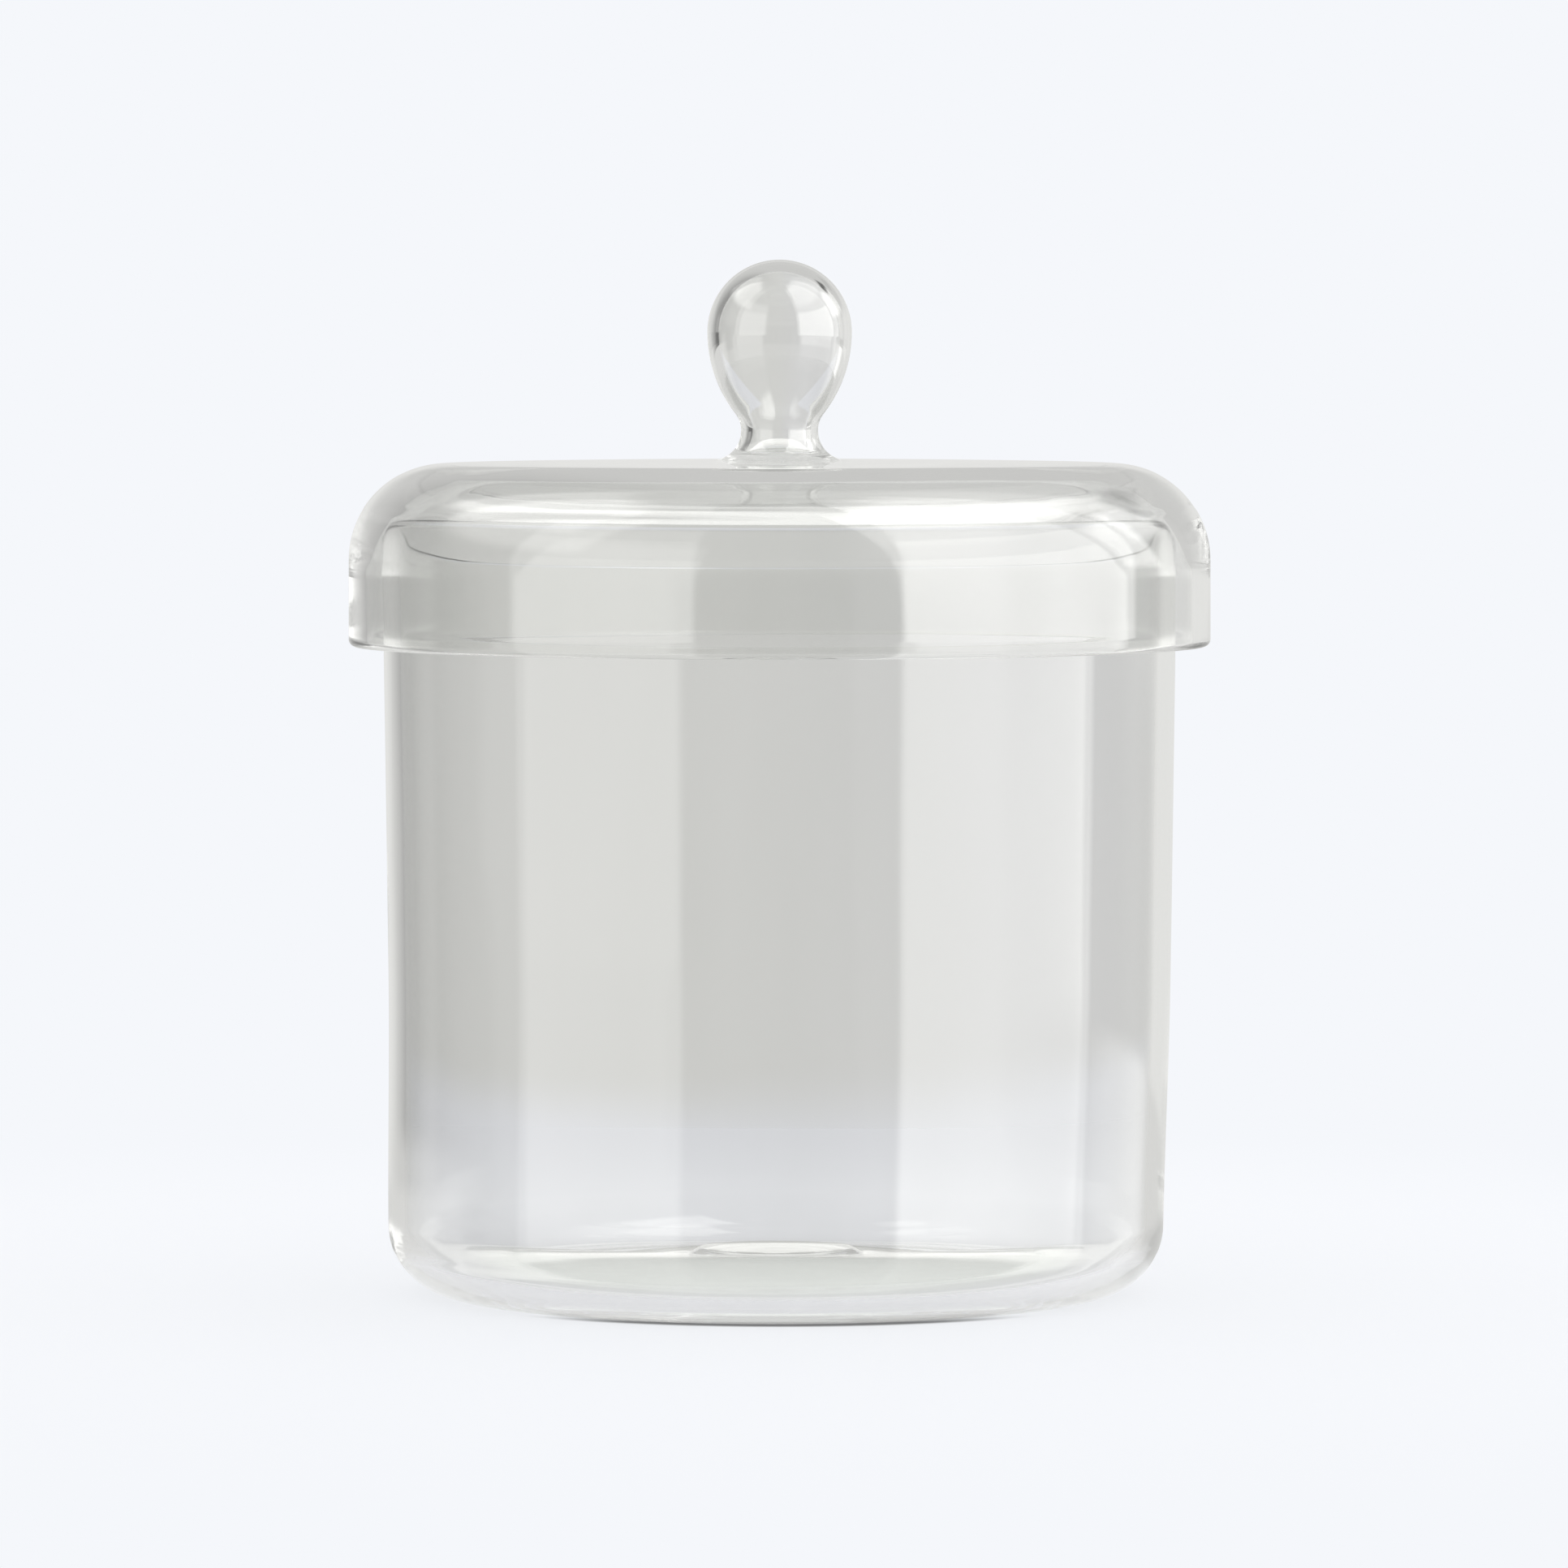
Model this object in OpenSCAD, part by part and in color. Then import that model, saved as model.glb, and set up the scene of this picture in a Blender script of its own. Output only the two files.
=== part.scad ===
// Lidded glass specimen jar, in millimetres, +Z up. The origin is the centre of the ring that the
// jar rests on. Every piece is turned about the Z axis from a section drawn with X as the radius.

/* [Jar] */
// Outside diameter of the wall at the rim
mouth_d = 120; // [90:0.5:160]
// How much smaller the wall's radius is at the table than at the rim
wall_taper = 1.5; // [0:0.1:6]
// Height of the jar, from the table to the top of its rim
jar_h = 116.8; // [60:0.2:240]
// Thickness of the jar's wall
jar_wall = 2.6; // [1.8:0.1:3.1]
// Thickness of the jar's floor
floor_t = 3.2; // [2:0.1:6]
// Outside radius of the corner between wall and floor
corner_r = 10.6; // [8:0.2:14]
// Inside radius of that corner
inner_corner_r = 8; // [6:0.2:12]
// Width of the flat ring that the jar rests on, round the hollow pushed up into its floor
rest_ring_w = 6.8; // [3:0.2:14]
// Height of that hollow at the middle
kick_h = 3.4; // [1:0.1:8]
// Radius of the round button of glass at the middle of the floor
button_r = 12.5; // [6:0.5:20]
// How far the button stands above the floor
button_h = 0.7; // [0.3:0.1:2]
// Radius of the fire-polished bead along the rim
rim_bead_r = 1.6; // [1.4:0.05:2.2]

/* [Lid] */
// Clear gap between the jar's wall and the lid's skirt
skirt_gap = 2.4; // [1.4:0.1:5]
// Clear gap where the lid's shoulder sits on the rim
seat_gap = 0.3; // [0.1:0.05:0.5]
// Height of the lid without its knob, from the skirt's edge to the top of the crown
lid_h = 28; // [22:0.5:60]
// Thickness of the skirt
skirt_wall = 2.6; // [1.8:0.1:3.1]
// Thickness of the crown
crown_t = 2.6; // [1.8:0.1:4]
// Outside radius of the shoulder between skirt and crown
shoulder_r = 14.5; // [12:0.25:18]
// Inside radius of the shoulder
inner_shoulder_r = 14; // [11:0.25:16]
// How far the middle of the crown stands above its edge
crown_rise = 0.5; // [0.2:0.1:3]
// Radius of the fire-polished bead along the skirt's edge, flush with the skirt's outside
skirt_bead_r = 1.6; // [1.4:0.05:2]

/* [Knob] */
// Diameter of the knob's bulb
bulb_d = 21.8; // [18:0.2:30]
// Radius of the long curve from the bulb's widest place down to the neck
bulb_taper_r = 20; // [17:0.5:26]
// Diameter of the neck where it is narrowest
neck_d = 11.6; // [9:0.2:14]
// Radius of the hollow curve from the neck up to the bulb
neck_fillet_r = 4; // [3:0.25:6]
// Radius of the hollow curve from the neck down to the crown
foot_fillet_r = 4.5; // [3.5:0.25:6]
// Diameter of the knob's foot, fused to the crown
foot_d = 16.4; // [14.4:0.2:18.4]
// Thickness of the knob's wall
knob_wall = 1.7; // [1:0.1:2.2]

/* [Hidden] */

// Sides of a round face in a mesh preview, and of the very large, nearly flat circles
round_fn = 180;
flat_fn = 3600;
// How far a cutting shape runs past what it cuts, and how far the knob's foot runs into its neck
past = 1;
lap = 0.05;

// Radius of the sphere whose cap has this radius at its edge and this height
function cap_sphere_r(edge, height) = (edge ^ 2 + height ^ 2) / (2 * height);

// Jar: the wall leans out by a small angle from base to rim
wall_lean = atan(wall_taper / jar_h);
base_r = mouth_d / 2 - wall_taper;
inner_base_r = base_r - jar_wall / cos(wall_lean) + floor_t * tan(wall_lean);
rim_bead_z = jar_h - rim_bead_r;
rim_bead_x = mouth_d / 2 - rim_bead_r * tan(wall_lean) - jar_wall / 2 / cos(wall_lean);
kick_sphere_r = cap_sphere_r(base_r - corner_r - rest_ring_w, kick_h);
kick_centre_z = kick_h - kick_sphere_r;
floor_sphere_r = kick_sphere_r + floor_t;
button_top_z = kick_h + floor_t + button_h;
button_edge_z = kick_centre_z + sqrt(floor_sphere_r ^ 2 - button_r ^ 2);
button_sphere_r = cap_sphere_r(button_r, button_top_z - button_edge_z);

// Lid: its inner shoulder comes down onto the rim's bead, which sets how high the lid sits
lid_inner_r = mouth_d / 2 + skirt_gap;
lid_outer_r = lid_inner_r + skirt_wall;
inner_shoulder_x = lid_inner_r - inner_shoulder_r;
seat_reach = inner_shoulder_r - rim_bead_r - seat_gap;
inner_shoulder_z = rim_bead_z - sqrt(seat_reach ^ 2 - (rim_bead_x - inner_shoulder_x) ^ 2);
crown_edge_r = lid_outer_r - shoulder_r;
crown_sphere_r = cap_sphere_r(crown_edge_r, crown_rise);
ceiling_sphere_r = crown_sphere_r - crown_t;
crown_centre_z = inner_shoulder_z
    - sqrt((ceiling_sphere_r - inner_shoulder_r) ^ 2 - inner_shoulder_x ^ 2);
crown_top_z = crown_centre_z + crown_sphere_r;
skirt_edge_z = crown_top_z - lid_h;

// Knob: its foot stands on a small flat at the middle of the crown
knob_seat_z = crown_centre_z + sqrt(crown_sphere_r ^ 2 - (foot_d / 2) ^ 2);
neck_z = knob_seat_z + foot_fillet_r;
neck_fillet_x = neck_d / 2 + neck_fillet_r;
taper_x = bulb_d / 2 - bulb_taper_r;
bulb_z = neck_z + sqrt((bulb_taper_r + neck_fillet_r) ^ 2 - (neck_fillet_x - taper_x) ^ 2);

// Half section of a cup, filled from the axis to a leaning wall, with a round corner at its foot.
// foot_r is the radius at which the wall's line meets the bottom.
module cup_section(foot_r, corner, bottom, top) {
    corner_x = foot_r - corner * (1 - sin(wall_lean)) / cos(wall_lean);
    polygon([
        [0, bottom],
        [corner_x, bottom],
        [corner_x + corner * cos(wall_lean), bottom + corner * (1 - sin(wall_lean))],
        [foot_r + (top - bottom) * tan(wall_lean), top],
        [0, top]
    ]);
    translate([corner_x, bottom + corner]) circle(corner, $fn = round_fn);
}

// Half section of a dome with straight sides, filled down to bottom: a nearly flat cap of a large
// sphere about crown_centre_z, met by a round shoulder that is tangent to it and to the side.
module dome_section(side_r, shoulder, sphere_r, bottom) {
    shoulder_x = side_r - shoulder;
    shoulder_z = crown_centre_z + sqrt((sphere_r - shoulder) ^ 2 - shoulder_x ^ 2);
    reach = sphere_r / (sphere_r - shoulder);
    cap_x = shoulder_x * reach;
    cap_z = crown_centre_z + (shoulder_z - crown_centre_z) * reach;
    polygon([[0, bottom], [side_r, bottom], [side_r, shoulder_z], [cap_x, cap_z], [0, cap_z]]);
    intersection() {
        translate([shoulder_x, shoulder_z]) circle(shoulder, $fn = round_fn);
        translate([0, shoulder_z]) square([side_r, shoulder]);
    }
    intersection() {
        translate([0, crown_centre_z]) circle(sphere_r, $fn = flat_fn);
        translate([0, shoulder_z]) square([cap_x, 2 * shoulder]);
    }
}

// Half section of the knob, filled from the axis. An inset draws the hollow inside its wall.
// Each stretch reaches into the next, inside its outline, so that they join as one.
module knob_section(inset) {
    fillet = neck_fillet_r + inset;
    reach = fillet / (bulb_taper_r + neck_fillet_r);
    join_x = neck_fillet_x + (taper_x - neck_fillet_x) * reach;
    join_z = neck_z + (bulb_z - neck_z) * reach;
    // foot, flared out to the crown
    difference() {
        translate([0, knob_seat_z - inset]) square([foot_d / 2, foot_fillet_r + inset + lap]);
        translate([neck_d / 2 + foot_fillet_r, neck_z])
            circle(foot_fillet_r + inset, $fn = round_fn);
    }
    // neck, opening up to the bulb
    difference() {
        translate([0, neck_z]) square([join_x, join_z - neck_z]);
        translate([neck_fillet_x, neck_z]) circle(fillet, $fn = round_fn);
    }
    // long curve of the bulb's lower part
    intersection() {
        translate([taper_x, bulb_z]) circle(bulb_taper_r - inset, $fn = round_fn);
        translate([0, neck_z]) square([bulb_d / 2, bulb_z - neck_z]);
    }
    // round top of the bulb
    intersection() {
        translate([0, bulb_z]) circle(bulb_d / 2 - inset, $fn = round_fn);
        translate([0, neck_z]) square([bulb_d / 2, bulb_z - neck_z + bulb_d / 2]);
    }
}

// The jar: one blown body with a rounded corner, a kicked-up floor and a beaded rim.
module jar_body() {
    color([0.86, 0.89, 0.87, 0.4]) rotate_extrude($fn = round_fn) difference() {
        union() {
            difference() {
                cup_section(base_r, corner_r, 0, rim_bead_z);
                cup_section(inner_base_r, inner_corner_r, floor_t, jar_h + past);
            }
            // the floor keeps its thickness over the kick
            intersection() {
                translate([0, kick_centre_z]) circle(floor_sphere_r, $fn = flat_fn);
                square([base_r - corner_r, button_top_z]);
            }
            // button at the middle of the floor
            intersection() {
                translate([0, button_top_z - button_sphere_r]) circle(button_sphere_r, $fn = flat_fn);
                square([button_r, button_top_z]);
            }
            translate([rim_bead_x, rim_bead_z]) circle(rim_bead_r, $fn = round_fn);
        }
        translate([0, kick_centre_z]) circle(kick_sphere_r, $fn = flat_fn);
    }
}

// The lid: a shallow cap whose skirt hangs outside the rim, with a beaded edge.
module lid_cap() {
    color([0.84, 0.88, 0.86, 0.4]) rotate_extrude($fn = round_fn) {
        difference() {
            dome_section(lid_outer_r, shoulder_r, crown_sphere_r, skirt_edge_z + skirt_bead_r);
            dome_section(lid_inner_r, inner_shoulder_r, ceiling_sphere_r, skirt_edge_z - past);
            // flat that the knob's foot is fused to
            translate([0, knob_seat_z]) square([foot_d, crown_t]);
        }
        translate([lid_outer_r - skirt_bead_r, skirt_edge_z + skirt_bead_r])
            circle(skirt_bead_r, $fn = round_fn);
    }
}

// The knob: a hollow blown bulb on a waisted neck, its flared foot fused to the crown.
module lid_knob() {
    color([0.88, 0.91, 0.89, 0.5]) rotate_extrude($fn = round_fn) difference() {
        knob_section(0);
        knob_section(knob_wall);
    }
}

jar_body();
lid_cap();
lid_knob();
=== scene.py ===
"""A lidded glass specimen jar: the looks of its jar and its knobbed lid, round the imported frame."""

import math

import bpy
import numpy as np
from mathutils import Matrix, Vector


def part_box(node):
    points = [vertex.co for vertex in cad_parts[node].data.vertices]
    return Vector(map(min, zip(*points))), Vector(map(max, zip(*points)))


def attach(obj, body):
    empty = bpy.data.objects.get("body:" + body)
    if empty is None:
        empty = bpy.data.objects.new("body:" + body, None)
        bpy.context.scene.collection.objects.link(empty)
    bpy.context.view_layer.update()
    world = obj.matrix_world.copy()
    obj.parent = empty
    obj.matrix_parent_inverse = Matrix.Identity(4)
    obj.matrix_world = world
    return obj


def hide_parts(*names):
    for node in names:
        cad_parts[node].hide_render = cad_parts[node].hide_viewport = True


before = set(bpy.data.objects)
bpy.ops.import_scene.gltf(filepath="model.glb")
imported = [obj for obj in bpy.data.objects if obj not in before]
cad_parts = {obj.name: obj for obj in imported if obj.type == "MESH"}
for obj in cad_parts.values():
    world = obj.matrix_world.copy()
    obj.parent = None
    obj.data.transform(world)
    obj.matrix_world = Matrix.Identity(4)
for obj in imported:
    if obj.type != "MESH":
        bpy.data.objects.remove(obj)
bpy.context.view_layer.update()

# ---- Jar -------------------------------------------------------------------------------------
# One blown body of clear glass with a straight wall that opens a little towards the rim. Its
# floor is pushed up from below and stands on a ring, a round button of glass is left at the
# middle of the floor, and the rim is polished by a flame to a soft round edge.

# Sizes are in millimetres. The jar's height and width come from the frame
MM = 0.001
jar_high = np.array(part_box("jar_body")[1]) / MM
jar_h = jar_high[2]
jar_wall = 2.6
floor_t = 3.2
wall_lean = math.radians(0.736)
rim_inset = 0.3
rim_round_r = 0.9
corner_r = 10.6
inner_corner_r = 8
kick_h = 3.4
kick_edge_r = 41.1
kick_fullness = 1.25
button_r = 12.4
button_edge = 1.1
button_h = 0.7
jar_sides = 240

# The faults of a blown wall: the depth of its waves, which start outside the still radius and are
# full at the wave radius, and the foot's shift to one side, which fades out up the wall
outer_wave_h = 0.05
inner_wave_h = 0.07
inside_margin = 0.2
jar_still_r = 8
wave_full_r = 48
foot_shift = 0.55
foot_shift_top = 48
foot_shift_full = 8

# The finish of blown glass: how far its streaks are drawn out up the wall, and the levels of noise
# between which streaks and smears set in
drawn_out = 0.18
streaks_between = (0.35, 0.7)
smears_between = (0.45, 0.75)


def arc(centre, radius, start, end, steps):
    """A round stretch of a section. Each point is the centre plus the radius times the cosine and
    sine of an angle, which goes evenly from start to end, in degrees."""
    angle = np.radians(np.linspace(start, end, steps + 1))
    return np.column_stack([centre[0] + radius * np.cos(angle), centre[1] + radius * np.sin(angle)])


def straight(a, b, steps):
    """A straight stretch from a to b in even steps."""
    t = np.linspace(0, 1, steps + 1)[:, None]
    return np.array(a) + (np.array(b) - np.array(a)) * t


def joined(*stretches, closest=0.01):
    """The stretches end to end, without the points at which one repeats the end of the last."""
    points = np.concatenate(stretches)
    step = np.linalg.norm(np.diff(points, axis=0), axis=1)
    return points[np.concatenate([[True], step > closest])]


def soft_step(t):
    """0 below 0 and 1 above 1. Between them it is t squared times three less twice t."""
    t = np.clip(t, 0, 1)
    return t**2 * (3 - 2 * t)


def turned(section, sides, shape=None, first=0):
    """A section of (radius, height) points carried round the Z axis. A point at step j of the turn
    is the radius times the cosine and sine of 2 pi j / sides, at its height; shape may then move
    the whole grids of x, y and z. A section starts and ends on the axis, and each end is one
    vertex that closes its pole. Returns the vertices and the faces, numbered from first."""
    radius, height = section[1:-1, 0][:, None], section[1:-1, 1][:, None]
    angle = 2 * math.pi * np.arange(sides)[None, :] / sides
    x, y, z = radius * np.cos(angle), radius * np.sin(angle), height + 0 * angle
    if shape:
        x, y, z = shape(x, y, z)
    grid = np.stack([x, y, z], axis=-1).reshape(-1, 3)
    start = [x[0].mean(), y[0].mean(), section[0, 1] + z[0].mean() - section[1, 1]]
    end = [x[-1].mean(), y[-1].mean(), section[-1, 1] + z[-1].mean() - section[-2, 1]]
    rings = len(radius)
    here = np.arange(rings * sides).reshape(rings, sides) + first
    along = np.roll(here, -1, axis=1)
    quads = np.stack([here[:-1], along[:-1], along[1:], here[1:]], axis=-1).reshape(-1, 4)
    south, north = first + rings * sides, first + rings * sides + 1
    fan_a = np.stack([np.full(sides, south), along[0], here[0]], axis=-1)
    fan_b = np.stack([here[-1], along[-1], np.full(sides, north)], axis=-1)
    faces = quads.tolist() + fan_a.tolist() + fan_b.tolist()
    return np.concatenate([grid, [start, end]]), faces


def piece_from(name, vertices, faces):
    """A smooth piece whose vertices, given in millimetres, are its place in the frame."""
    mesh = bpy.data.meshes.new(name)
    mesh.from_pydata((vertices * MM).tolist(), [], faces)
    mesh.polygons.foreach_set("use_smooth", np.ones(len(mesh.polygons), dtype=bool))
    mesh.update()
    piece = bpy.data.objects.new(name, mesh)
    bpy.context.scene.collection.objects.link(piece)
    return piece


def kick_height(r):
    """How far the kick stands up at a radius: its height times one less the square of the radius
    over the kick's own, all to the power that says how full it is, and nothing beyond it."""
    return kick_h * np.clip(1 - (r / kick_edge_r) ** 2, 0, None) ** kick_fullness


def jar_section():
    """The jar's section from the middle of its underside, out and up its outside, over the rim
    and down its inside to the middle of the floor, where the button is a soft step up."""
    tan, cos, sin = math.tan(wall_lean), math.cos(wall_lean), math.sin(wall_lean)
    lean_deg = math.degrees(wall_lean)
    rim_z = jar_h - rim_round_r
    outer_rim_r = jar_high[0] - rim_inset
    base_r = outer_rim_r - rim_z * tan
    inner_rim_r = outer_rim_r - jar_wall / cos
    inner_base_r = base_r - jar_wall / cos + floor_t * tan
    corner_x = base_r - corner_r * (1 - sin) / cos
    inner_corner_x = inner_base_r - inner_corner_r * (1 - sin) / cos
    inner_corner_z = floor_t + inner_corner_r

    under_r = np.linspace(0, kick_edge_r, num=40)
    kick = np.column_stack([under_r, kick_height(under_r)])
    ring = straight((kick_edge_r, 0), (corner_x, 0), steps=5)
    corner = arc((corner_x, corner_r), corner_r, -90, -lean_deg, steps=22)
    wall = straight(corner[-1], (outer_rim_r, rim_z), steps=52)
    outer_edge = arc((outer_rim_r - rim_round_r, rim_z), rim_round_r, 0, 90, steps=9)
    inner_edge = arc((inner_rim_r + rim_round_r, rim_z), rim_round_r, 90, 180, steps=9)
    inner_corner = arc(
        (inner_corner_x, inner_corner_z), inner_corner_r, -lean_deg, -90, steps=22
    )
    inner_wall = straight(inner_edge[-1], inner_corner[0], steps=52)
    edge_r = np.linspace(button_r + button_edge, button_r - button_edge, num=13)
    floor_r = np.concatenate([
        np.linspace(inner_corner_x, kick_edge_r, num=5),
        np.linspace(kick_edge_r, edge_r[0], num=30)[1:],
        edge_r[1:],
        np.linspace(edge_r[-1], 0, num=12)[1:],
    ])
    button = button_h * soft_step((button_r + button_edge - floor_r) / (2 * button_edge))
    floor = np.column_stack([floor_r, floor_t + kick_height(floor_r) + button])
    return joined(
        kick, ring, corner, wall, outer_edge, inner_edge, inner_wall, inner_corner, floor
    )


def blown_jar(x, y, z):
    """The small faults of a blown wall. The radius shrinks by up to a tenth of a millimetre or so,
    by waves that drift as they go up, three round the outside and two round the inside, and the
    foot sits a little to one side of the rim."""
    radius, angle = np.hypot(x, y), np.arctan2(y, x)
    inside = radius < jar_high[0] - jar_wall + inside_margin
    up = z / jar_h
    outer_wave = outer_wave_h * (1 + np.sin(3 * angle + 4.0 * up) * np.cos(2.2 * up + 0.6))
    inner_wave = inner_wave_h * (1 + np.sin(2 * angle - 5.0 * up + 1.1) * np.cos(3.1 * up))
    share = np.clip((radius - jar_still_r) / (wave_full_r - jar_still_r), 0, 1)
    scale = 1 - np.where(inside, inner_wave, outer_wave) * share / np.maximum(radius, 1)
    fade = soft_step((foot_shift_top - z) / (foot_shift_top - foot_shift_full))
    return x * scale - foot_shift * fade, y * scale, z


class Wire:
    """One output of a shader node. Python's operators on it add Math nodes."""

    def __init__(self, recipe, socket):
        self.recipe = recipe
        self.socket = socket

    def __add__(self, other):
        return self.recipe.maths("ADD", self, other)

    def __radd__(self, other):
        return self.recipe.maths("ADD", other, self)

    def __sub__(self, other):
        return self.recipe.maths("SUBTRACT", self, other)

    def __rsub__(self, other):
        return self.recipe.maths("SUBTRACT", other, self)

    def __mul__(self, other):
        return self.recipe.maths("MULTIPLY", self, other)

    def __rmul__(self, other):
        return self.recipe.maths("MULTIPLY", other, self)


class Recipe:
    """The node tree of a material or the world, started afresh."""

    def __init__(self, owner):
        self.tree = owner.node_tree
        self.tree.nodes.clear()

    def node(self, kind, settings=None, values=None, output=0):
        """Adds a node of this kind. Its settings are set first, then each named or numbered
        socket gets its value, or a link where the value is a wire. Returns one output."""
        made = self.tree.nodes.new(kind)
        for name, value in (settings or {}).items():
            setattr(made, name, value)
        for name, value in (values or {}).items():
            socket = made.inputs[name] if isinstance(name, int) else next(
                s for s in made.inputs if name in (s.identifier, s.name)
            )
            if isinstance(value, Wire):
                self.tree.links.new(value.socket, socket)
            else:
                socket.default_value = value
        if isinstance(output, str):
            output = [s.name for s in made.outputs].index(output)
        return Wire(self, made.outputs[output]) if made.outputs else made

    def maths(self, operation, *values):
        """A Math node of this operation on the values, in order."""
        return self.node("ShaderNodeMath", {"operation": operation}, dict(enumerate(values)))

    def smooth(self, value, low, high):
        """A soft step from 0 at low to 1 at high."""
        return self.node(
            "ShaderNodeMapRange",
            {"interpolation_type": "SMOOTHSTEP"},
            {"Value": value, "From Min": low, "From Max": high},
        )

    def colours(self, share, first, second):
        """A colour that goes from the first to the second as the share goes from 0 to 1."""
        return self.node(
            "ShaderNodeMix",
            {"data_type": "RGBA"},
            {"Factor_Float": share, "A_Color": first, "B_Color": second},
            output=2,
        )

    def shaders(self, share, first, second):
        """A shader that goes from the first to the second as the share goes from 0 to 1."""
        return self.node("ShaderNodeMixShader", values={0: share, 1: first, 2: second})

    def path(self, name):
        """What the Light Path node says of a ray under this name."""
        return self.node("ShaderNodeLightPath", output=name)


def clear_glass(name, clear, streaked, roughness, ripple):
    """Blown glass. Its colour wanders a little between two near greys in streaks drawn out up the
    wall, its surface is a touch duller in places, and a fine ripple bends what it mirrors. Lamps
    shine through it, so that its shadow stays pale."""
    material = bpy.data.materials.new(name)
    material.use_nodes = True
    recipe = Recipe(material)
    place = recipe.node("ShaderNodeTexCoord", output="Object")
    drawn = recipe.node("ShaderNodeMapping", values={"Vector": place, "Scale": (1, 1, drawn_out)})
    streaks = recipe.node(
        "ShaderNodeTexNoise", values={"Vector": drawn, "Scale": 55, "Detail": 3, "Roughness": 0.5}
    )
    smears = recipe.node(
        "ShaderNodeTexNoise", values={"Vector": place, "Scale": 38, "Detail": 4, "Roughness": 0.6}
    )
    ripples = recipe.node(
        "ShaderNodeTexNoise", values={"Vector": drawn, "Scale": 90, "Detail": 1}
    )
    bump = recipe.node(
        "ShaderNodeBump", values={"Height": ripples, "Strength": ripple, "Distance": 0.4 * MM}
    )
    glass = recipe.node(
        "ShaderNodeBsdfPrincipled",
        values={
            "Base Color": recipe.colours(recipe.smooth(streaks, *streaks_between), clear, streaked),
            "Roughness": roughness * recipe.smooth(smears, *smears_between),
            "IOR": 1.5,
            "Transmission Weight": 1.0,
            "Normal": bump,
        },
    )
    passing = recipe.node("ShaderNodeBsdfTransparent", values={"Color": clear})
    surface = recipe.shaders(recipe.path("Is Shadow Ray"), glass, passing)
    recipe.node("ShaderNodeOutputMaterial", values={"Surface": surface})
    return material


jar_glass = clear_glass(
    "jar_glass",
    clear=(0.985, 0.986, 0.981, 1),
    streaked=(0.965, 0.967, 0.960, 1),
    roughness=0.02,
    ripple=0.06,
)
jar = piece_from("jar_glass_body", *turned(jar_section(), jar_sides, blown_jar))
jar.data.materials.append(jar_glass)
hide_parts("jar_body")
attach(jar, "jar")

# ---- Lid -------------------------------------------------------------------------------------
# A shallow cap of the same glass, whose skirt hangs outside the jar's rim and ends in an edge
# rounded by a flame. The knob is a hollow bulb blown on a waisted neck. Its foot is melted onto
# the middle of the crown, so that cap and knob are one body of glass round a pocket of air.

cap_low, cap_high = (np.array(corner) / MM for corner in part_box("lid_cap"))
knob_low, knob_high = (np.array(corner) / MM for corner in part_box("lid_knob"))
lid_outer_r = cap_high[0]
skirt_wall = 2.6
skirt_round_r = 1.1
skirt_inner_round_r = 0.8
crown_t = 2.6
crown_r = 2550
shoulder_r = 14.5
inner_shoulder_r = 14
bulb_r = knob_high[0]
bulb_taper_r = 20
neck_r = 5.8
neck_fillet_r = 4
foot_fillet_r = 4.5
knob_wall = 1.7
pocket_floor_t = 2.0
pocket_round_r = 1.1
pocket_dish = 0.15
lid_sides = 240
pocket_sides = 96

lid_inner_r = lid_outer_r - skirt_wall
seat_z = knob_low[2]
neck_z = seat_z + foot_fillet_r
foot_x = neck_r + foot_fillet_r
neck_fillet_x = neck_r + neck_fillet_r
taper_x = bulb_r - bulb_taper_r
bulb_z = knob_high[2] - bulb_r
taper_deg = math.degrees(math.atan2(bulb_z - neck_z, neck_fillet_x - taper_x))

# The lid's faults: its waves start outside this radius, and its inner faces lie within the skirt's
# inner radius and below the crown's top by these margins
lid_still_r = 18
skirt_margin = 0.3
crown_margin = 2


def nearly_flat(top, start, end, steps):
    """A nearly flat stretch of crown or ceiling: its height is the top less the radius squared
    over twice the radius of the sphere that it is a cap of."""
    r = np.linspace(start, end, steps + 1)
    return np.column_stack([r, top - r**2 / (2 * crown_r)])


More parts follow.
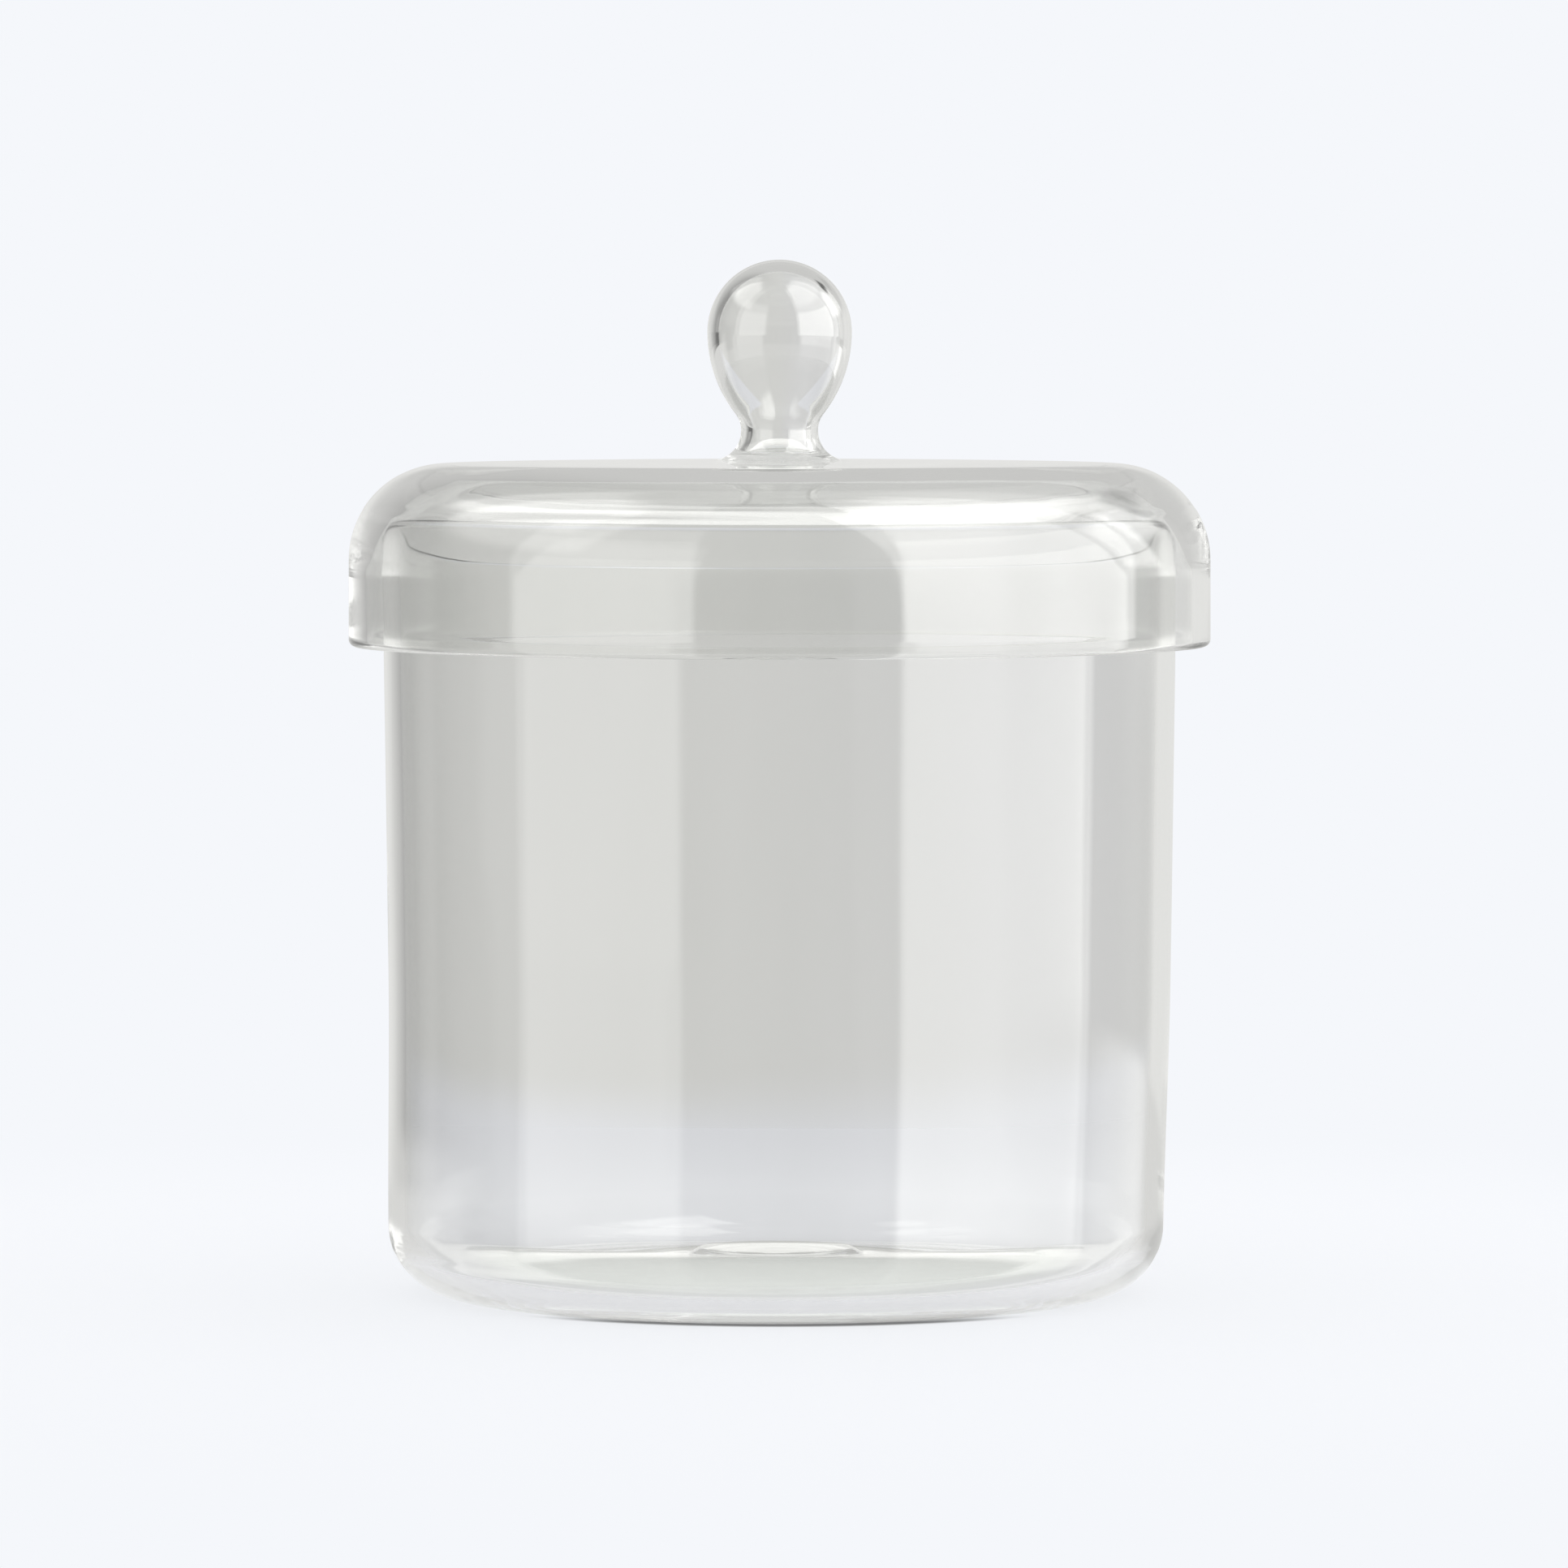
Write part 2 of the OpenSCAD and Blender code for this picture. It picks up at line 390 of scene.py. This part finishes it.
def lid_section():
    """The lid's section from the middle of its ceiling, out and down inside the skirt, round its
    edge, up the outside and over the crown, and up the knob to its top."""
    crown_top = seat_z + foot_x**2 / (2 * crown_r)
    ceiling_z = crown_top - crown_t
    inner_x, outer_x = lid_inner_r - inner_shoulder_r, lid_outer_r - shoulder_r
    slope = math.degrees(inner_x / crown_r)
    inner_z = ceiling_z - inner_x**2 / (2 * crown_r) - inner_shoulder_r
    outer_z = crown_top - outer_x**2 / (2 * crown_r) - shoulder_r
    skirt_x, inner_skirt_x = lid_outer_r - skirt_round_r, lid_inner_r + skirt_inner_round_r
    skirt_z, inner_skirt_z = cap_low[2] + skirt_round_r, cap_low[2] + skirt_inner_round_r
    return joined(
        nearly_flat(ceiling_z, 0, inner_x, steps=20),
        arc((inner_x, inner_z), inner_shoulder_r, 90 - slope, 0, steps=30),
        straight((lid_inner_r, inner_z), (lid_inner_r, inner_skirt_z), steps=8),
        arc((inner_skirt_x, inner_skirt_z), skirt_inner_round_r, 180, 270, steps=8),
        arc((skirt_x, skirt_z), skirt_round_r, 270, 360, steps=10),
        straight((lid_outer_r, skirt_z), (lid_outer_r, outer_z), steps=8),
        arc((outer_x, outer_z), shoulder_r, 0, 90 - slope, steps=32),
        nearly_flat(crown_top, outer_x, foot_x, steps=18),
        arc((foot_x, neck_z), foot_fillet_r, 270, 180, steps=16),
        arc((neck_fillet_x, neck_z), neck_fillet_r, 180, 180 - taper_deg, steps=10),
        arc((taper_x, bulb_z), bulb_taper_r, -taper_deg, 0, steps=22),
        arc((0, bulb_z), bulb_r, 0, 90, steps=30),
    )


def pocket_section():
    """The pocket of air in the knob, from its top down to its floor. It keeps the wall's
    thickness from the outside, its foot is rounded where the crown closes it, and its floor
    is a very flat dish."""
    bottom = seat_z - crown_t + pocket_floor_t
    flare_r = foot_fillet_r + knob_wall
    drop = neck_z - bottom - pocket_round_r
    flare_deg = math.degrees(math.asin(drop / flare_r))
    edge_x = foot_x - flare_r * math.cos(math.radians(flare_deg)) - pocket_round_r
    return joined(
        arc((0, bulb_z), bulb_r - knob_wall, 90, 0, steps=26),
        arc((taper_x, bulb_z), bulb_taper_r - knob_wall, 0, -taper_deg, steps=20),
        arc((neck_fillet_x, neck_z), neck_fillet_r + knob_wall, 180 - taper_deg, 180, steps=8),
        arc((foot_x, neck_z), flare_r, 180, 180 + flare_deg, steps=10),
        arc((edge_x, bottom + pocket_round_r), pocket_round_r, 0, -90, steps=8),
        straight((edge_x, bottom), (0, bottom - pocket_dish), steps=6),
    )


def blown_lid(x, y, z):
    """The lid's own small faults: waves, two round the outside and three round the inside, that
    shrink the radius by up to a tenth of a millimetre or so and fade out towards the knob."""
    radius, angle = np.hypot(x, y), np.arctan2(y, x)
    inside = (radius < lid_inner_r + skirt_margin) & (z < cap_high[2] - crown_margin)
    outer_wave = outer_wave_h * (1 + np.sin(2 * angle + 0.8 + 0.05 * z))
    inner_wave = inner_wave_h * (1 + np.sin(3 * angle - 0.4 + 0.07 * z))
    share = np.clip((radius - lid_still_r) / (wave_full_r - lid_still_r), 0, 1)
    scale = 1 - np.where(inside, inner_wave, outer_wave) * share / np.maximum(radius, 1)
    return x * scale, y * scale, z


lid_glass = clear_glass(
    "lid_glass",
    clear=(0.985, 0.987, 0.981, 1),
    streaked=(0.967, 0.970, 0.963, 1),
    roughness=0.02,
    ripple=0.04,
)
shell, shell_faces = turned(lid_section(), lid_sides, blown_lid)
pocket, pocket_faces = turned(pocket_section(), pocket_sides, first=len(shell))
lid = piece_from(
    "lid_glass_body", np.concatenate([shell, pocket]), shell_faces + pocket_faces
)
lid.data.materials.append(lid_glass)
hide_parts("lid_cap", "lid_knob")
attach(lid, "lid")

# ---- Floor -----------------------------------------------------------------------------------
# A plain pale table top under the jar. It is matt, it takes the jar's soft shadow, and towards
# its edge it passes into the pale backdrop. Right under the jar it glows at a pale tone of its own,
# a painted pool of light, and a thin painted contact shadow marks where the jar stands on it.

backdrop = (0.913, 0.930, 0.965, 1)
floor_behind = (0.769, 0.778, 0.814, 1)
wall_behind = (0.690, 0.690, 0.675, 1)
matt_paint = (0.80, 0.80, 0.80, 1)
# painted light: the pale tone at which the floor glows right under the jar
painted_light_under_jar = (0.86, 0.89, 0.86, 1)
# painted contact shadow: the dark tone of the thin line where the jar stands
painted_contact_shadow = (0.12, 0.12, 0.12, 1)
shade_share = 0.3
contact_shadow_share = 0.9

# Distances from the middle in millimetres. Each pair is where a soft step starts and ends
floor_r = 320
floor_drop = 0.05
floor_sides = 96
# where the painted pool of light under the jar fades out
under_jar = (40, 50)
# where the painted contact shadow starts and ends, outwards and towards the front
contact_shadow_inner = (46.8, 48.2)
contact_shadow_outer = (50, 53)
contact_shadow_front = (34, 46)
mirrored_away = (58, 70)

# A ray that has crossed more faces of glass than this is lost in it. The other two tell a ray that
# has met a face once, or twice, from one that hasn't
lost_faces = 5.5
once = 0.5
twice = 1.5


def pale_floor():
    """Matt paint, lit by the lamp over the middle and shown at its own tone towards the edge. It is
    greyer where it is seen through glass, and as grey as the wall to a ray that is lost in the
    glass. Under the jar it glows at a pale tone of its own, a painted pool of light that stands in
    for the light the glass gathers, with a painted contact shadow, a thin dark line at the front
    where the jar stands. The glass doesn't mirror it beyond the jar's own foot."""
    material = bpy.data.materials.new("pale_floor")
    material.use_nodes = True
    recipe = Recipe(material)
    place = recipe.node("ShaderNodeTexCoord", output="Object")
    back = recipe.node("ShaderNodeSeparateXYZ", values={0: place}, output="Y")
    out = recipe.node("ShaderNodeVectorMath", {"operation": "LENGTH"}, {0: place}, output="Value")
    faces = recipe.path("Transmission Depth")

    def step(value, ends):
        """A soft step between two distances in millimetres."""
        return recipe.smooth(value, ends[0] * MM, ends[1] * MM)

    def glowing(colour):
        """The floor at a tone of its own, whatever light falls on it."""
        return recipe.node("ShaderNodeEmission", values={"Color": colour})

    middle = 1 - step(out, (floor_r / 2, floor_r))
    tone = recipe.colours(recipe.path("Is Transmission Ray"), backdrop, floor_behind)
    matt = recipe.node("ShaderNodeBsdfDiffuse", values={"Color": matt_paint})
    shaded = recipe.shaders(shade_share * middle, glowing(tone), matt)
    lost = recipe.maths("GREATER_THAN", faces, lost_faces)
    with_lost = recipe.shaders(lost, shaded, glowing(wall_behind))
    # painted light: right under the jar the floor glows at its own pale tone
    under = 1 - step(out, under_jar)
    with_painted_light = recipe.shaders(under, with_lost, glowing(painted_light_under_jar))
    outside = recipe.maths("LESS_THAN", faces, once)
    # painted contact shadow: a thin dark ring at the front of the jar's foot, only for rays that have
    # not passed through glass
    ring = step(out, contact_shadow_inner) * (1 - step(out, contact_shadow_outer))
    line = contact_shadow_share * ring * outside * step(0 - back, contact_shadow_front)
    with_painted_shadow = recipe.shaders(line, with_painted_light, glowing(painted_contact_shadow))
    lighting_others = recipe.shaders(recipe.path("Is Diffuse Ray"), with_painted_shadow, matt)
    mirrored = recipe.maths("GREATER_THAN", recipe.path("Glossy Depth"), once)
    unseen = recipe.node("ShaderNodeBsdfTransparent")
    surface = recipe.shaders(mirrored * step(out, mirrored_away), lighting_others, unseen)
    recipe.node("ShaderNodeOutputMaterial", values={"Surface": surface})
    material.cycles.emission_sampling = "NONE"
    return material


floor_angle = 2 * math.pi * np.arange(floor_sides) / floor_sides
floor_edge = np.column_stack([
    floor_r * np.cos(floor_angle),
    floor_r * np.sin(floor_angle),
    np.full(floor_sides, -floor_drop),
])
floor = piece_from("floor", floor_edge, [list(range(floor_sides))])
floor.data.materials.append(pale_floor())

# ---- Light -----------------------------------------------------------------------------------
# A pale studio with two tall soft windows in front of the jar, one on each side, darker walls
# between them and a bench below. A broad lamp overhead lays the soft shadow on the floor.

# The wall behind turns bluer between two places across it, and meets the floor's tone between two
# heights, in degrees
wall_behind_right = (0.690, 0.690, 0.694, 1)
wall_turns_blue = (-0.02, 0.06)
floor_line = (-4.62, -4.2)
mirror_tint = (1.0, 1.0, 0.98, 1)

# How bright the parts of the room are, where 1 is white
left_window_light = 1.0
left_top_light = 1.8
right_window_light = 2.1
right_top_light = 0.9
right_lamp_light = 2.5
room_light = 0.28
left_corner_loss = 0.14
right_wall_light = 0.34
right_wall_upper_light = 0.15
far_wall_light = 0.30
far_wall_low_light = 0.20
far_wall_deep_loss = 0.1
bench_light = 0.68
bench_right_light = 0.42
bench_deep_loss = 0.18
bench_right_window_light = 0.7
bench_left_window_light = 0.5

# Shares by which parts of the room lose or gain light
sill_loss = 0.25
upper_window_loss = 0.28
lid_level_gain = 0.75
far_down_gain = 0.375
left_corner_upper_loss = 0.8
left_corner_opening = 1.8
top_corner_loss = 0.95
bench_right_deep_loss = 0.8

# Turns in degrees: how much further round the windows' edges lie where the lid mirrors them, how
# much nearer the far wall comes deep in the glass, and how far the bench dips on the right
upper_lean = 6
upper_widening = 3.4
deep_wall_turn = 14
bench_dip = 0.4

# What is mirrored far inside the glass, or a second time, is blurred towards these tones
deep_tone = 0.22
deep_far_wall_light = 0.6
deep_share = 0.9
again_tone = 0.7
again_far_wall_light = 0.4
again_share = 0.6

# A ray that has crossed more faces of glass than this is far inside it
deep_faces = 3.5


def rise(value, low, high):
    """A soft step from 0 at low to 1 at high, in degrees."""
    return value.recipe.smooth(value, math.radians(low), math.radians(high))


def between(value, low, high, edge):
    """1 from low to high and 0 outside, softened over the edge to both sides, in degrees."""
    return rise(value, low - edge, low + edge) * (1 - rise(value, high - edge, high + edge))


def towards(value, goal, share):
    """The value moved towards the goal by a share of the way."""
    return value + share * (goal - value)


def mirrored_room(recipe, turn, height):
    """How bright the room is in each direction, as the glass mirrors it. A direction is the angle
    round the jar, which is 0 in front of it and grows to the right, and the height above the
    horizon. The windows, the walls and the bench are soft patches between such angles. A patch
    whose low end is under -90 degrees has no lower edge."""
    deep = recipe.maths("GREATER_THAN", recipe.path("Transmission Depth"), deep_faces)
    again = recipe.maths("GREATER_THAN", recipe.path("Glossy Depth"), twice)

    # the lid mirrors a higher part of the windows than the jar, where their edges lie further
    # round, and the right one is dimmer at its far side, low down by the sill and again higher up
    raised = rise(height, -2.9, -2.1)
    leaning = turn - math.radians(upper_lean) * raised
    left_window = between(leaning, -82, -29, 1.5) * between(height, -95, 44, 4)
    left_top = between(turn, -131, -64, 4) * between(height, 34, 68, 4)
    near_edge = rise(turn + math.radians(upper_widening) * raised, 34.5, 37.5)
    far_edge = 1 - rise(leaning, 101.5, 104.5)
    upper_fade = 1 - upper_window_loss * raised * rise(turn, 78, 104)
    right_window = near_edge * far_edge * between(height, -95, 78, 3) * upper_fade
    sill = rise(turn, 60, 100) * (1 - rise(height, -5.8, -4.2))
    right_top = between(turn, 33, 132, 5) * between(height, 42, 75, 5)
    right_lamp = between(turn, 112, 131, 3) * between(height, 15, 37, 4)
    windows = (
        left_window_light * left_window
        + left_top_light * left_top
        + right_window_light * right_window * (1 - sill_loss * sill)
        + right_top_light * right_top
    )

    # the corner on the left is dark, and its back part turns pale above the bench. The wall on
    # the right and the far wall are pale, with a dark corner at the top right
    behind_left = 1 - rise(turn, -130, -118)
    corner_opens = 1 - left_corner_opening * behind_left * rise(height, -0.4, 0.8)
    corner_fades = 1 - left_corner_upper_loss * rise(height, 8, 14)
    left_corner = between(turn, -140, -82, 3) * corner_fades * corner_opens
    right_wall = between(turn, 100, 140, 5)
    right_wall_glow = right_wall * (right_wall_light + right_wall_upper_light * raised)
    room = room_light - left_corner_loss * left_corner + right_wall_glow
    far_wall_left = rise(0 - turn + math.radians(deep_wall_turn) * deep, 138, 168)
    far_wall = rise(turn, 136, 146) + far_wall_left
    far_wall_low = far_wall_low_light * (1 - rise(height, 6, 12))
    far_wall_glow = far_wall * (far_wall_light + far_wall_low - far_wall_deep_loss * deep)
    top_corner = between(turn, 138, 152, 3) * between(height, 27, 35, 2)

    # the windows are brighter at the heights that the lid mirrors and far down, and what is
    # mirrored deep inside the glass is blurred
    lid_level = lid_level_gain * between(height, -2.5, 30, 0.5)
    far_down = far_down_gain * (1 - rise(height, -14, -9))
    lit_room = room + windows * (1 + lid_level + far_down) + right_lamp_light * right_lamp
    far_level = between(height, 0.5, 14, 1.5) * far_wall
    blurred = deep_share * deep * (1 - rise(height, 50, 60))
    indoors = towards(lit_room, deep_tone + deep_far_wall_light * far_level, blurred)
    with_corner = (indoors + far_wall_glow) * (1 - top_corner_loss * top_corner)

    # the bench reaches round the sides and the back of the jar and runs under it, where it takes
    # up the light of the windows
    beside = rise(recipe.maths("ABSOLUTE", turn), 100, 115)
    dip = math.radians(bench_dip) * rise(turn, 80, 100)
    beside_low = beside * (1 - rise(height + dip, -5.1, -4.75))
    below = 1 - rise(height, -12, -9)
    bench_windows = (
        bench_right_window_light * right_window + bench_left_window_light * left_window
    )
    bench_right = bench_right_light * right_wall * (1 - bench_right_deep_loss * deep)
    bench = bench_light + bench_right + below * (1 - deep) * bench_windows
    on_bench = recipe.maths("MAXIMUM", beside_low, below)
    first = towards(with_corner, bench - bench_deep_loss * deep, on_bench)
    second = again_tone + again_far_wall_light * deep * far_level
    return towards(first, second, again_share * again)


def studio():
    """The world. Looked at straight it is the plain backdrop. Through glass it is a greyer wall,
    a little bluer on the right, with the floor's tone below it. In a reflection it is the room."""
    world = bpy.data.worlds.new("studio")
    bpy.context.scene.world = world
    world.use_nodes = True
    recipe = Recipe(world)
    direction = recipe.node("ShaderNodeTexCoord", output="Generated")
    x, y, z = (
        recipe.node("ShaderNodeSeparateXYZ", values={0: direction}, output=axis) for axis in "XYZ"
    )
    turn = recipe.maths("ARCTAN2", x, 0 - y)
    height = recipe.maths("ARCSINE", z)
    wall_tone = recipe.colours(recipe.smooth(x, *wall_turns_blue), wall_behind, wall_behind_right)
    behind_tone = recipe.colours(rise(height, *floor_line), floor_behind, wall_tone)
    plain = recipe.node("ShaderNodeBackground", values={"Color": backdrop})
    behind = recipe.node("ShaderNodeBackground", values={"Color": behind_tone})
    room = recipe.node(
        "ShaderNodeBackground",
        values={"Color": mirror_tint, "Strength": mirrored_room(recipe, turn, height)},
    )
    through = recipe.shaders(recipe.path("Is Transmission Ray"), plain, behind)
    mirrored = recipe.maths("GREATER_THAN", recipe.path("Glossy Depth"), once)
    seen = recipe.shaders(mirrored, through, room)
    recipe.node("ShaderNodeOutputWorld", values={"Surface": seen})


studio()

lamp_x, lamp_y, lamp_z = 0.1, 0.15, 0.9
lamp_data = bpy.data.lights.new("overhead", "AREA")
lamp_data.shape = "DISK"
lamp_data.size = 0.5
lamp_data.energy = 3.0
lamp = bpy.data.objects.new("overhead", lamp_data)
lamp.location = (lamp_x, lamp_y, lamp_z)
lamp.rotation_euler = (math.atan2(-lamp_y, lamp_z), math.atan2(lamp_x, lamp_z), 0)
lamp.visible_camera = False
lamp.visible_glossy = False
lamp.visible_transmission = False
bpy.context.scene.collection.objects.link(lamp)

# ---- Camera ----------------------------------------------------------------------------------
# A long lens, level with the jar's upper part and looking slightly down at it. Light may cross
# the many faces of glass as often as it needs to.

camera_dip = 2.632
glass_bounces = 128

camera_data = bpy.data.cameras.new("camera")
camera_data.lens = 228.34
camera_data.sensor_width = 36
camera = bpy.data.objects.new("camera", camera_data)
camera.location = (0.00067, -1.5001, 0.14595)
camera.rotation_euler = (math.radians(90 - camera_dip), 0, 0)
bpy.context.scene.collection.objects.link(camera)

scene = bpy.context.scene
scene.camera = camera
scene.view_settings.view_transform = "Standard"
scene.cycles.max_bounces = glass_bounces
scene.cycles.transmission_bounces = glass_bounces
scene.cycles.glossy_bounces = glass_bounces
scene.cycles.transparent_max_bounces = 32
